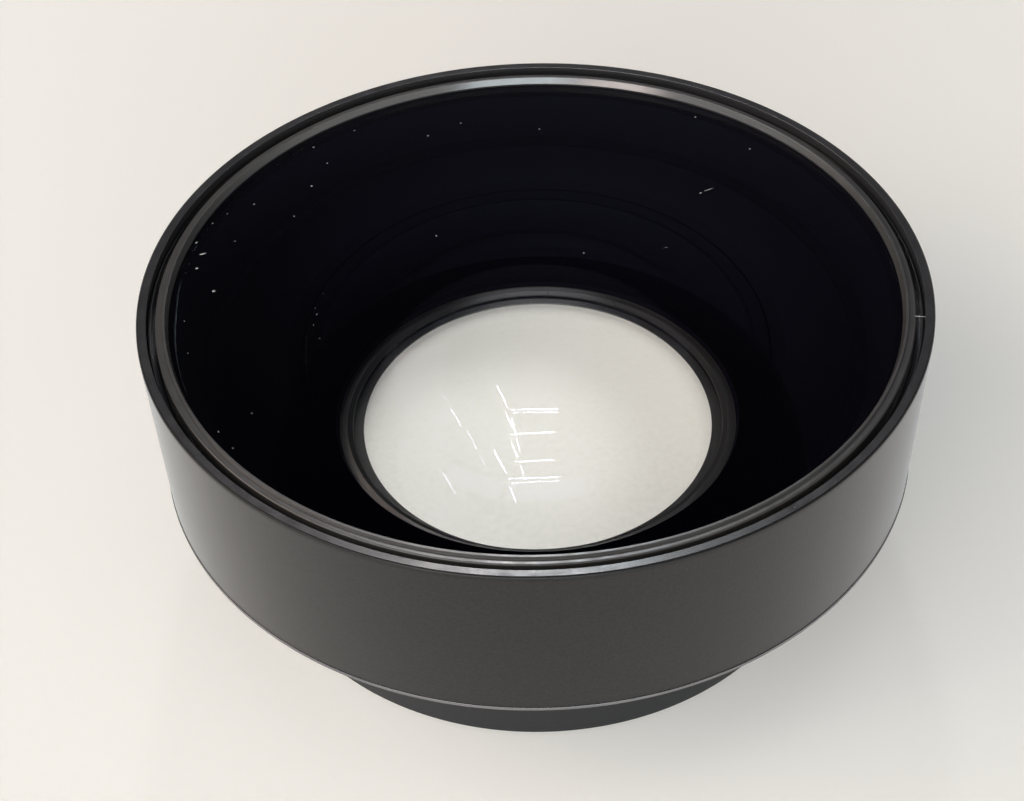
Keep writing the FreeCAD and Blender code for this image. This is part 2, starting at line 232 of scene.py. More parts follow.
# %% A ring with straight sides and rounded corners
EDGE_ROUND = 0.03


def turned(name, corners, slot=0, segments=288, steps=5, extra=None):
    """Spins rows of radius, height and, where it isn't EDGE_ROUND, corner round.

    slot is a number, or a rule that reads the middle of each side.
    """
    corners = np.array([(*corner, EDGE_ROUND)[:3] for corner in corners])
    points, facing = rounded(corners[:, :2], corners[:, 2], True, steps)
    middle = (points[:-1] + points[1:]) / 2
    slots = slot(middle[:, 0], middle[:, 1]) if callable(slot) else slot
    return spin(name, [(points, facing, slots)], segments, extra)


# %% Hand a piece over to the CAD frame
def dress(piece, nodes, materials):
    """Gives a piece its finishes, lets it ride on the one body and stand for its CAD nodes."""
    for material in materials:
        piece.data.materials.append(material)
    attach(piece, "root")
    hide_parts(*nodes)


# %% [markdown]
# ## Finishes: a few small node helpers
# Every finish is a Principled shader fed by procedural patterns that read Object coordinates, so they sit
# still on the metal from any side. A value that is the same all over goes straight onto the socket.

# %% Node helpers
def fresh(name):
    """A new material, its node tree and its Principled shader."""
    material = bpy.data.materials.new(name)
    material.use_nodes = True
    tree = material.node_tree
    return material, tree, tree.nodes["Principled BSDF"]


def feed(tree, node, inputs):
    """Links or sets a node's inputs."""
    for key, value in inputs.items():
        if isinstance(value, bpy.types.NodeSocket):
            tree.links.new(value, node.inputs[key])
        else:
            node.inputs[key].default_value = value
    return node


def add(tree, kind, inputs=None, **settings):
    """Adds a node, sets its properties and feeds its inputs."""
    node = tree.nodes.new(kind)
    for key, value in settings.items():
        setattr(node, key, value)
    return feed(tree, node, inputs or {})


def calculate(tree, operation, first, second):
    return add(tree, "ShaderNodeMath", {0: first, 1: second}, operation=operation).outputs[0]


def object_point(tree):
    return add(tree, "ShaderNodeTexCoord").outputs["Object"]


def lathe_point(tree, around=0.02):
    """Coordinates that follow the cutting tool: the distance from the axis, the height, and a little of
    the way round, so that a noise read there is drawn out into fine rings."""
    point = object_point(tree)
    flat = add(tree, "ShaderNodeVectorMath", {0: point, 1: (1, 1, 0)}, operation="MULTIPLY")
    far = add(tree, "ShaderNodeVectorMath", {0: flat.outputs[0]}, operation="LENGTH")
    parts = add(tree, "ShaderNodeSeparateXYZ", {0: point})
    drift = calculate(tree, "MULTIPLY", parts.outputs["X"], around)
    return add(tree, "ShaderNodeCombineXYZ", {
        "X": far.outputs["Value"], "Y": parts.outputs["Z"], "Z": drift}).outputs[0]


def noise(tree, point, scale, detail=2.0, rough=0.5):
    return add(tree, "ShaderNodeTexNoise", {
        "Vector": point, "Scale": scale, "Detail": detail, "Roughness": rough}).outputs["Fac"]


def blend_range(tree, value, low, high, start=0.3, stop=0.7):
    """Maps a pattern's start to stop onto low to high."""
    return add(tree, "ShaderNodeMapRange", {
        "Value": value, "From Min": start, "From Max": stop, "To Min": low, "To Max": high}).outputs[0]


def two_tone(tree, value, low, high, start=0.3, stop=0.7):
    """Maps a pattern's start to stop onto a change from one colour to another."""
    ramp = add(tree, "ShaderNodeValToRGB", {"Fac": value})
    ramp.color_ramp.elements[0].position = start
    ramp.color_ramp.elements[0].color = (*low, 1)
    ramp.color_ramp.elements[1].position = stop
    ramp.color_ramp.elements[1].color = (*high, 1)
    return ramp.outputs["Color"]


def bump(tree, value, strength, depth_mm):
    return add(tree, "ShaderNodeBump", {
        "Height": value, "Strength": strength, "Distance": depth_mm * MM}).outputs["Normal"]


# %% [markdown]
# ## Finishes: black anodised aluminium
# The band is blasted with fine beads before it is dyed, which gives an even matte grain. Such a surface
# turns pale where it is seen at a low angle, and the shader's sheen draws that pale edge; a rougher gloss
# would grey the whole band instead. The neck is finer still. The rim, the rings and the edge of the base
# ring are left as the lathe cut them, so they are smoother, mirror more, and show faint rings.

# %% Blasted band and neck
def blasted(name, dark, light, roughness, grain_mm, depth_mm, sheen):
    material, tree, shader = fresh(name)
    point = object_point(tree)
    grain = noise(tree, point, 1 / (grain_mm * MM), 3.0, 0.6)
    cloud = noise(tree, point, 60, 2.0)
    feed(tree, shader, {
        "Base Color": two_tone(tree, grain, dark, light),
        "Roughness": blend_range(tree, cloud, roughness - 0.03, roughness + 0.03),
        "Normal": bump(tree, grain, 0.5, depth_mm),
        "IOR": 1.38, "Sheen Weight": sheen, "Sheen Roughness": 0.35})
    return material


band_black = blasted("band_blasted_black", (0.001, 0.001, 0.001), (0.010, 0.010, 0.011), 0.34,
                     grain_mm=0.28, depth_mm=0.016, sheen=0.70)
neck_black = blasted("neck_fine_black", (0.014, 0.015, 0.017), (0.022, 0.023, 0.026), 0.36,
                     grain_mm=0.12, depth_mm=0.004, sheen=0.1)
print("blasted finishes:", band_black.name, neck_black.name)


# %% Turned satin black
LATHE_RING_MM = 0.08


def satin(name, dark, light, roughness, depth_mm=0.002, metallic=0.0):
    material, tree, shader = fresh(name)
    rings = noise(tree, lathe_point(tree), 1 / (LATHE_RING_MM * MM), 2.0)
    wear = noise(tree, object_point(tree), 400, 4.0, 0.7)
    feed(tree, shader, {
        "Base Color": two_tone(tree, rings, dark, light),
        "Roughness": blend_range(tree, wear, roughness - 0.05, roughness + 0.06),
        "Normal": bump(tree, rings, 0.4, depth_mm), "Metallic": metallic, "IOR": 1.8})
    return material


rim_black = satin("rim_turned_black", (0.024, 0.024, 0.025), (0.038, 0.038, 0.040), 0.20, depth_mm=0.001)
ring_black = satin("retaining_ring_satin", (0.050, 0.049, 0.047), (0.072, 0.070, 0.068), 0.21,
                   depth_mm=0.001)
edge_bright = satin("base_edge_bright", (0.16, 0.16, 0.17), (0.26, 0.26, 0.27), 0.28, metallic=0.8)
rear_ring_grey = satin("rear_ring_grey", (0.016, 0.016, 0.017), (0.028, 0.028, 0.030), 0.32)
cell_black = satin("cell_anodised", (0.020, 0.020, 0.021), (0.034, 0.034, 0.036), 0.38)
turned_finishes = [rim_black, ring_black, edge_bright, rear_ring_grey, cell_black]
print("turned finishes:", [finish.name for finish in turned_finishes])

# %% [markdown]
# ## Finishes: flat black inside, soft rings, foil, steel, dust and a painted reflection
# A lens is painted inside with a black that hardly mirrors, so its refractive index is set close to that
# of air: a low gloss alone would still shine at a low angle. One function makes all the plain finishes,
# because they differ only in colour, gloss and grain.

# %% Plain finishes
def plain_grain(name, dark, light, roughness, grain_mm, depth_mm, metallic=0.0, index=1.5):
    material, tree, shader = fresh(name)
    grain = noise(tree, object_point(tree), 1 / (grain_mm * MM), 3.0)
    feed(tree, shader, {
        "Base Color": two_tone(tree, grain, dark, light),
        "Roughness": blend_range(tree, grain, roughness - 0.06, roughness + 0.06),
        "Normal": bump(tree, grain, 0.4, depth_mm), "Metallic": metallic, "IOR": index})
    return material


inner_black = plain_grain("inner_flat_black", (0.002, 0.002, 0.005), (0.004, 0.004, 0.008), 0.65,
                          grain_mm=0.25, depth_mm=0.008, index=1.08)
baffle_black = plain_grain("baffle_flat_black", (0.0004, 0.0004, 0.001), (0.0008, 0.0008, 0.002), 0.9,
                           grain_mm=0.25, depth_mm=0.0, index=1.0)
edge_paint = plain_grain("glass_edge_paint", (0.001, 0.001, 0.003), (0.003, 0.003, 0.006), 0.75,
                         grain_mm=0.30, depth_mm=0.006, index=1.07)
soft_black = plain_grain("soft_ring_black", (0.012, 0.012, 0.012), (0.022, 0.022, 0.022), 0.65, 0.30, 0.01)
foil = plain_grain("shim_foil", (0.030, 0.026, 0.020), (0.050, 0.043, 0.032), 0.40, 0.50, 0.003)
# Painted reflection: this dark bluish colour, on flakes along the left edge of the front glass, stands in
# for the bluish reflection seen there.
painted_edge_reflection = plain_grain("painted_edge_reflection", (0.004, 0.010, 0.016), (0.030, 0.040, 0.055), 0.60, 0.12, 0.01)
dust_pale = plain_grain("dust_pale", (0.42, 0.46, 0.46), (0.62, 0.64, 0.62), 0.80, 0.10, 0.01)
steel = plain_grain("small_steel", (0.28, 0.28, 0.29), (0.42, 0.42, 0.43), 0.35, 0.20, 0.004, 1.0)
print("finishes so far:", len(bpy.data.materials))

# %% [markdown]
# ## Finishes: coated glass
# The glass really bends the light here, which is what makes the table behind the rear pair look like a
# white disc. Coated glass mirrors far less than bare glass, and what it does mirror is tinted. Rays from
# the lamps would be lost in the glass, so they go straight through it, a little weakened, and the table
# inside stays lit.

# %% Coated glass
COATING = 0.015


def coated(name, index, tint, passes):
    material, tree, shader = fresh(name)
    feed(tree, shader, {
        "Base Color": (1, 1, 1, 1), "Transmission Weight": 1, "Roughness": 0, "IOR": index,
        "Specular Tint": (*tint, 1), "Specular IOR Level": COATING})
    straight = add(tree, "ShaderNodeBsdfTransparent", {"Color": (*passes, 1)})
    path = add(tree, "ShaderNodeLightPath")
    shade = add(tree, "ShaderNodeMixShader", {
        0: path.outputs["Is Shadow Ray"], 1: shader.outputs[0], 2: straight.outputs[0]})
    spread = add(tree, "ShaderNodeMixShader", {
        0: path.outputs["Is Diffuse Ray"], 1: shade.outputs[0], 2: straight.outputs[0]})
    tree.links.new(spread.outputs[0], tree.nodes["Material Output"].inputs["Surface"])
    return material


front_glass = coated("front_glass_coated", 1.70, (0.10, 0.10, 0.16), (0.985, 0.985, 0.98))
crown_glass = coated("crown_glass_coated", 1.60, (0.10, 0.09, 0.16), (0.985, 0.985, 0.98))
flint_glass = coated("flint_glass_coated", 1.70, (0.10, 0.12, 0.12), (0.985, 0.985, 0.98))
print("glasses:", front_glass.name, crown_glass.name, flint_glass.name)

# %% [markdown]
# ## Dust, wear and a painted reflection
# The front glass has grains of dust, and the rim has a lint and three chips. Along the left edge of the
# front glass a row of thin dark bluish flakes is a painted reflection of the window light. A pattern in the
# material could draw them, but a real grain stands on the glass and casts its own light and shade, so each
# is a tiny flat pillow that belongs to the piece's own mesh.

# %% Grains as small flat pillows
GRAIN_HALF_HEIGHT = 0.03


def flecks(rows):
    """Eight-sided pillows, one for each row of x, y, z, length, width, turn in degrees and slot.

    A grain's corners lie on an ellipse about its middle, with one point above and one below:
    x + length cos(a) cos(turn) - width sin(a) sin(turn), and likewise for y.
    """
    rows = np.array(rows, float)
    corner = np.radians(np.arange(0, 360, 45))
    turn = np.radians(rows[:, 5:6])
    along, across = rows[:, 3:4] * np.cos(corner), rows[:, 4:5] * np.sin(corner)
    points = np.repeat(rows[:, None, :3], 10, axis=1)
    points[:, :8, 0] += along * np.cos(turn) - across * np.sin(turn)
    points[:, :8, 1] += along * np.sin(turn) + across * np.cos(turn)
    points[:, 8, 2] += GRAIN_HALF_HEIGHT
    points[:, 9, 2] -= GRAIN_HALF_HEIGHT
    facing = np.vstack([np.stack([np.cos(corner), np.sin(corner), 0 * corner], 1), [[0, 0, 1], [0, 0, -1]]])
    even = np.arange(0, 8, 2)
    above = np.stack([np.full(4, 8), even, even + 1, (even + 2) % 8], 1)
    below = np.stack([np.full(4, 9), (even + 2) % 8, even + 1, even], 1)
    one = np.vstack([above, below])
    quads = (one[None] + 10 * np.arange(len(rows))[:, None, None]).reshape(-1, 4)
    directions = np.tile(facing[one].reshape(-1, 3), (len(rows), 1))
    return points.reshape(-1, 3), quads, directions, np.repeat(rows[:, 6], len(one))


# %% Dust on the front glass
# The last slot is the painted bluish reflection on the left edge of the front glass.
POLISHED, PAINTED, DUSTY, EDGE_REFLECTION = 0, 1, 2, 3
grains = np.array([
    (-30.7, 7.2, 0.36, 0.10, 20), (-29.2, 1.4, 0.17, 0.14, 0), (-31.1, 5.1, 0.15, 0.12, 40),
    (-31.5, 9.1, 0.17, 0.10, 60), (-27.8, 8.6, 0.07, 0.06, 0), (-21.0, 16.4, 0.11, 0.08, 10),
    (-19.7, 20.2, 0.10, 0.07, 80), (-22.4, 11.6, 0.08, 0.07, 0), (-10.0, 23.9, 0.12, 0.07, 30),
    (-21.2, 23.4, 0.10, 0.08, 0), (-26.4, 14.3, 0.09, 0.06, 50), (-8.9, 6.8, 0.07, 0.06, 0),
    (0.9, 24.3, 0.09, 0.06, 0), (-6.8, 26.0, 0.08, 0.07, 0), (-27.4, -17.1, 0.13, 0.06, 120),
    (-24.6, -15.3, 0.07, 0.06, 0), (-26.0, -19.2, 0.10, 0.06, 130), (16.7, 13.6, 0.55, 0.035, 26),
    (15.9, 13.0, 0.16, 0.05, 30), (16.3, 26.7, 0.10, 0.08, 0), (21.2, 21.0, 0.09, 0.07, 0),
    (4.6, 3.5, 0.08, 0.06, 0), (-30.9, -6.8, 0.07, 0.05, 90), (-31.6, -2.4, 0.09, 0.05, 100),
    (-30.2, 11.9, 0.10, 0.05, 60), (-28.9, 13.2, 0.07, 0.05, 0), (-17.3, 25.9, 0.09, 0.06, 20)])
# These flakes are a painted reflection: the bluish glint along the left edge of the front glass is drawn as
# colour, not mirrored by the glass.
edge_reflection_flakes = np.array([
    (-32.52, 2.2, 1.5, 0.05, 86), (-32.50, 0.2, 1.7, 0.07, 90), (-32.45, -1.8, 1.7, 0.10, 93),
    (-32.34, -3.7, 1.7, 0.10, 96), (-32.15, -5.5, 1.6, 0.08, 99), (-31.85, -7.3, 1.5, 0.05, 102),
    (-31.45, -9.1, 1.4, 0.04, 105), (-30.90, -11.0, 1.3, 0.03, 108), (-32.1, 4.6, 0.16, 0.04, 10),
    (-32.6, -2.9, 0.05, 0.03, 0), (-31.5, 8.3, 0.5, 0.04, 72), (-31.9, 5.9, 0.14, 0.05, 0)])
marks = np.vstack([np.insert(grains, 5, DUSTY, axis=1), np.insert(edge_reflection_flakes, 5, EDGE_REFLECTION, axis=1)])
mark_z = FRONT_VERTEX_Z - sag(FRONT_CURVE, np.hypot(marks[:, 0], marks[:, 1]))
dust = flecks(np.insert(marks, 2, mark_z, axis=1))
print("marks on the front glass:", len(marks))

# %% [markdown]
# ## The front glass
# It is a fat negative meniscus: nearly flat in front, deeply hollowed behind. Its ground edge steps in to
# a seat and then narrows as a cone, and all of that is painted black. A lens could be a scaled sphere with
# a Boolean, but a chain of one dome, one edge and one bowl keeps each face's true curve.

# %% Front glass
FRONT_THICKNESS, FRONT_REAR_CURVE = 2.999, 39.5
FRONT_STEP_R = FRONT_LENS_R - 1.2
FRONT_FOOT_R = 29.5
FRONT_BOWL_R = FRONT_FOOT_R - 1.3
BEVEL = 0.12
front_face, front_facing = dome(FRONT_VERTEX_Z, FRONT_CURVE, FRONT_LENS_R - BEVEL, 1, 1)
bowl, bowl_facing = dome(FRONT_VERTEX_Z - FRONT_THICKNESS, FRONT_REAR_CURVE, FRONT_BOWL_R, 1, -1)
edge, edge_facing = rounded([
    bowl[-1], (FRONT_FOOT_R, FRONT_FOOT_Z), (FRONT_STEP_R, FRONT_SEAT_Z), (FRONT_LENS_R, FRONT_SEAT_Z),
    (FRONT_LENS_R, front_face[-1, 1] - BEVEL), front_face[-1]], 0.08, closed=False)
front_lens = spin("front_lens_glass", [
    (bowl, bowl_facing, POLISHED), (edge, edge_facing, PAINTED),
    (front_face[::-1], front_facing[::-1], POLISHED)], 320, dust)
# The last finish is the painted bluish reflection along the glass's left edge.
dress(front_lens, ["front_lens"], [front_glass, edge_paint, dust_pale, painted_edge_reflection])

# %% [markdown]
# ## The rear pair
# A positive crown is cemented to a weak negative flint, and together they turn the spread rays parallel
# again. The cement is a hundredth of a millimetre thick. That gap is kept, because two meshes that share
# a face would make the ray tracer guess which glass comes first.

# %% Crown glass
CROWN_FRONT_CURVE, CEMENT_CURVE, FLINT_REAR_CURVE = 85.0, 110.0, 140.0
CEMENT = 0.01
crown_face, crown_facing = dome(CROWN_FRONT_Z, CROWN_FRONT_CURVE, REAR_LENS_R, 1, 1)
crown_back, crown_back_facing = dome(CEMENT_Z, CEMENT_CURVE, REAR_LENS_R, -1, 1)
edge, edge_facing = rounded([crown_back[-1], crown_face[-1]], 0.02, closed=False)
edge_facing[:] = (1, 0)
crown = spin("rear_crown_glass", [
    (crown_back, crown_back_facing, POLISHED), (edge, edge_facing, PAINTED),
    (crown_face[::-1], crown_facing[::-1], POLISHED)], 256)
dress(crown, ["rear_crown_lens"], [crown_glass, edge_paint])

# %% Flint glass
flint_hollow, hollow_facing = dome(CEMENT_Z - CEMENT, CEMENT_CURVE, REAR_LENS_R, -1, -1)
flint_back, back_facing = dome(FLINT_REAR_Z, FLINT_REAR_CURVE, REAR_CLEAR_R, -1, 1)
flint_flat_z = flint_back[-1, 1]
edge, edge_facing = rounded([flint_back[-1], (REAR_LENS_R, flint_flat_z), flint_hollow[-1]], 0.03, False)
flint = spin("rear_flint_glass", [
    (flint_back, back_facing, POLISHED), (edge, edge_facing, PAINTED),
    (flint_hollow[::-1], hollow_facing[::-1], POLISHED)], 256)
dress(flint, ["rear_flint_lens"], [flint_glass, edge_paint])

# %% [markdown]
# ## The band
# The tapered band hangs on the barrel's flange and carries the flat front rim. Its wall is blasted and
# its rim is left as turned, so one closed profile is used with a rule that picks the finish of each side;
# two pieces would leave a seam.

# %% Outer sleeve
WALL, RIM = 0, 1
RIM_BORE_R = FLANGE_R + 0.07
RIM_LAND_R = 35.63
SLEEVE_FOOT_R = SLEEVE_BORE_R + 0.6
SHOULDER = 0.45


def sleeve_slots(r, z):
    """Turned black on the flat land of the rim and down its bore, blasted black elsewhere."""
    land = (z > RIM_Z - 0.06) & (r < RIM_LAND_R)
    bore = (z > CUSHION_FOOT_Z - 0.07) & (r < RIM_BORE_R + 0.1)
    return np.where(land | bore, RIM, WALL)


rim_marks = flecks([
    (34.3, -5.05, RIM_Z - 0.01, 0.62, 0.045, -8, DUSTY),
    (20.9, -28.7, RIM_Z - 0.02, 0.16, 0.05, 36, DUSTY),
    (-30.9, -17.6, RIM_Z - 0.05, 0.12, 0.05, 120, DUSTY),
    (-24.9, -25.2, RIM_Z - 0.03, 0.10, 0.05, 130, DUSTY)])
sleeve = turned("outer_sleeve_band", [
    (SLEEVE_BORE_R, BAND_Z, 0.05), (SLEEVE_FOOT_R, BAND_Z, 0.10), (SLEEVE_TOP_R, RIM_Z - SHOULDER, 2.0),
    (SLEEVE_TOP_R, RIM_Z, 0.40), (RIM_BORE_R, RIM_Z, 0.04), (RIM_BORE_R, CUSHION_FOOT_Z),
    (SLEEVE_BORE_R, CUSHION_FOOT_Z)], sleeve_slots, 320, 10, rim_marks)
dress(sleeve, ["outer_sleeve"], [band_black, rim_black, dust_pale])

# %% [markdown]
# ## The rings of the band
# The satin retaining ring holds the front glass down. Its inner face leans, and its top has a raised crest
# and a flat step outside it, which mirror the lamps as two separate bright lines. The base ring closes the
# band from below, and only its narrow edge shows, as a thin bright line under the band.

# %% Front retaining ring
RING_BORE_R = FRONT_LENS_R + FIT_GAP
CREST_INNER_R, CREST_OUTER_R, STEP_INNER_R = RING_LIP_R + 0.26, 33.66, 33.68
LIP_Z, LIP_ROOT_Z, STEP_Z = RIM_Z - 0.662, RIM_Z - 0.732, RIM_Z - 0.282
ring = turned("front_retaining_ring_satin", [
    (RING_LIP_R, LIP_Z), (RING_BORE_R, LIP_ROOT_Z), (RING_BORE_R, RING_FOOT_Z),
    (RING_R, RING_FOOT_Z), (RING_R, STEP_Z, 0.16), (STEP_INNER_R, STEP_Z, 0.02),
    (CREST_OUTER_R, RIM_Z), (CREST_INNER_R, RIM_Z, 0.06)])
dress(ring, ["front_retaining_ring"], [ring_black])

# %% Base ring
SATIN, BRIGHT = 0, 1
BASE_EDGE, BASE_BEVEL = 0.299, 1.47
base = turned("base_ring_edge", [
    (BASE_BORE_R, BASE_FOOT_Z), (BASE_R - BASE_BEVEL, BASE_FOOT_Z, 0.10),
    (BASE_R, BAND_Z - BASE_EDGE, 0.08), (BASE_R, BAND_Z, 0.04), (BASE_BORE_R, BAND_Z)],
    lambda r, z: np.where((r > BASE_R - 0.17) & (z > BAND_Z - 0.47), BRIGHT, SATIN))
dress(base, ["base_ring"], [rim_black, edge_bright])

# %% [markdown]
# ## The barrel
# One turned piece carries everything: the front seat, the wall, the floor, the neck and the smooth skirt
# round the rear thread. Three grub screws go in through the neck, so after spinning it three holes are
# cut with a Boolean, as the drill would.

# %% Main barrel
NECK, FLOOR, INSIDE = 0, 1, 2
NECK_R, NECK_BORE_R, SKIRT_BORE_R = 26.7, CELL_R + THREAD_GAP, 25.8
SKIRT_ROOF_Z, FOOT_CHAMFER = 3.6, 0.15
BOSS_R, CONE_HEIGHT = BASE_BORE_R - THREAD_GAP, 2.2
BARREL_R = SLEEVE_BORE_R - THREAD_GAP
FLANGE_CHAMFER, LIP_WALL, CHANNEL_DEPTH = 0.12, 0.2, 1.202
THREAD_BORE_R, THREAD_FOOT_Z = RING_R + THREAD_GAP, RING_FOOT_Z - 0.1
CAVITY_R, CAVITY_SHOULDER_Z = BOSS_R - 0.8, FRONT_FOOT_Z + 0.703
SOCKET_R, SOCKET_Z = NECK_BORE_R + 0.6, BASE_FOOT_Z + 1.3


def barrel_slots(r, z):
    """Turned satin on top, flat black inside, fine matte everywhere else."""
    cavity = (r < BOSS_R + 2) & (z > BASE_FOOT_Z + 0.1)
    inside = (z > STOP_Z + 0.067) & ((r < SOCKET_R + 0.05) | cavity)
    return np.where(z > THREAD_FOOT_Z - 0.5, FLOOR, np.where(inside, INSIDE, NECK))


barrel = turned("main_barrel_body", [
    (SKIRT_BORE_R, SKIRT_FOOT_Z, 0.04), (NECK_R - FOOT_CHAMFER, SKIRT_FOOT_Z, 0.06),
    (NECK_R, SKIRT_FOOT_Z + FOOT_CHAMFER, 0.10), (NECK_R, BASE_FOOT_Z - CONE_HEIGHT, 0.15),
    (BOSS_R, BASE_FOOT_Z, 0.06), (BOSS_R, BAND_Z, 0.04), (BARREL_R, BAND_Z, 0.04),
    (BARREL_R, CUSHION_TOP_Z, 0.04), (FLANGE_R, CUSHION_TOP_Z, 0.04),
    (FLANGE_R, GROOVE_FLOOR_Z - FLANGE_CHAMFER, 0.02), (FLANGE_R - FLANGE_CHAMFER, GROOVE_FLOOR_Z, 0.02),
    (FLANGE_R - LIP_WALL, GROOVE_FLOOR_Z), (FLANGE_R - LIP_WALL, GROOVE_FLOOR_Z - CHANNEL_DEPTH),
    (THREAD_BORE_R, GROOVE_FLOOR_Z - CHANNEL_DEPTH), (THREAD_BORE_R, THREAD_FOOT_Z),
    (RING_BORE_R, THREAD_FOOT_Z), (RING_BORE_R, SEAT_Z), (SEAT_BORE_R, SEAT_Z),
    (CAVITY_R, CAVITY_SHOULDER_Z), (CAVITY_R, SNAP_TOP_Z + FIT_GAP),
    (SNAP_R + FIT_GAP, SNAP_TOP_Z + FIT_GAP), (SNAP_R + FIT_GAP, SNAP_FOOT_Z),
    (CAVITY_R, SNAP_FOOT_Z), (CAVITY_R, SOCKET_Z), (SOCKET_R, SOCKET_Z),
    (SOCKET_R, BAFFLE_FOOT_Z), (STOP_LIP_R, BAFFLE_FOOT_Z), (STOP_LIP_R, STOP_Z),
    (NECK_BORE_R, STOP_Z), (NECK_BORE_R, SKIRT_ROOF_Z), (SKIRT_BORE_R, SKIRT_ROOF_Z)],
    barrel_slots)
# The finishes come before the holes, because the Boolean keeps the slots that it finds.
for finish in (neck_black, rim_black, inner_black):
    barrel.data.materials.append(finish)


# %% Holes for the grub screws
def drilled(piece, radius, height, angles, start, stop, sides=48):
    """Cuts radial holes with a Boolean and keeps the result as the piece's own mesh.

    A drill is a cylinder along each angle: out times its length, plus radius cos(turn) across and
    radius sin(turn) up.
    """
    turn = np.linspace(0, 2 * np.pi, sides, endpoint=False)
    rim = np.stack([np.cos(turn), np.sin(turn)], 1) * radius
    here = np.arange(sides)
    points, faces = [], []
    for index, angle in enumerate(angles):
        out = np.array([np.cos(angle), np.sin(angle), 0])
        across = np.array([-np.sin(angle), np.cos(angle), 0])
        circle = rim[:, :1] * across + rim[:, 1:] * np.array([0, 0, 1]) + np.array([0, 0, height])
        points += [circle + out * start, circle + out * stop]
        low = here + index * 2 * sides
        after = np.roll(low, -1)
        faces += np.stack([low, after, after + sides, low + sides], 1).tolist()
        faces += [low[::-1].tolist(), (low + sides).tolist()]
    mesh = bpy.data.meshes.new("drill")
    mesh.from_pydata((np.vstack(points) * MM).tolist(), [], faces)
    tool = in_scene("drill", mesh)
    cut = piece.modifiers.new("holes", "BOOLEAN")
    cut.operation, cut.object, cut.solver = "DIFFERENCE", tool, "EXACT"
    done = bpy.data.meshes.new_from_object(piece.evaluated_get(bpy.context.evaluated_depsgraph_get()))
    piece.modifiers.clear()
    piece.data = done
    bpy.data.objects.remove(tool)
    print(piece.name, "faces after drilling:", len(done.polygons))


SCREW_ANGLES = np.radians([90, 210, 330])
SCREW_HOLE_R = 0.83
drilled(barrel, SCREW_HOLE_R, SCREW_Z, SCREW_ANGLES, 24.0, 28.0)
dress(barrel, ["main_barrel"], [])

# %% [markdown]
# ## The light baffle
# A stepped black cone stops stray light between the two groups: each little tread throws the light back
# out. The steps could be an Array modifier on one tread, but they grow with the cone, so a short formula
# for the corners is simpler.

# %% Stepped light baffle
STEPS, TREAD = 6, 0.3
BAFFLE_MOUTH_R = CAVITY_R - 1.3
BAFFLE_ROOT_R = 27.37
FLANGE_TOP_Z = SOCKET_Z + 1.0
TUBE_R = SOCKET_R - THREAD_GAP
step = np.arange(STEPS)
rise, run = (BAFFLE_TOP_Z - BAFFLE_FOOT_Z) / STEPS, (BAFFLE_MOUTH_R - STOP_LIP_R) / STEPS
risers = np.stack([STOP_LIP_R + step * run, BAFFLE_FOOT_Z + step * rise], 1)
treads = risers + (run - TREAD, rise)
inner = np.stack([risers, treads], 1).reshape(-1, 2)
outer = [(BAFFLE_MOUTH_R + TREAD, BAFFLE_TOP_Z), (BAFFLE_ROOT_R, FLANGE_TOP_Z), (BAFFLE_R, FLANGE_TOP_Z),
         (BAFFLE_R, SOCKET_Z), (TUBE_R, SOCKET_Z), (TUBE_R, BAFFLE_FOOT_Z)]
baffle = turned("light_baffle_steps", np.insert(np.vstack([inner, outer])[::-1], 2, 0.05, axis=1))
dress(baffle, ["light_baffle"], [baffle_black])

# %% [markdown]
# ## The ring and the cell of the rear pair
# The black ring around the white opening holds the rear pair in its cell, and flares towards the front so
# that it cuts no light. The cell carries the male thread. The thread is a real helix: the radius falls
# with the distance along the pitch, and that distance drops by one pitch for each turn. A Screw modifier
# could wind it, but not onto a closed cup.

# %% Rear retaining ring
FLARE, FLARE_HEIGHT = 0.4, 0.75
rear_ring = turned("rear_retaining_ring_grey", [
    (REAR_RING_BORE_R, REAR_RING_Z, 0.02), (REAR_RING_R, REAR_RING_Z),
    (REAR_RING_R, REAR_RING_TOP_Z, 0.08), (REAR_RING_BORE_R + FLARE, REAR_RING_TOP_Z, 0.05),
    (REAR_RING_BORE_R, REAR_RING_TOP_Z - FLARE_HEIGHT, 0.02)])
dress(rear_ring, ["rear_retaining_ring"], [rear_ring_grey])

# %% Rear cell with its helical thread
THREAD_R, THREAD_PITCH, THREAD_LENGTH, THREAD_CHAMFER = 24.5, 0.75, 3.3, 0.3
THREAD_DEPTH, FLANK, CREST, RUN_OUT, ROWS_PER_TURN = 0.61 * THREAD_PITCH, 1.6, 0.3, 0.3, 14


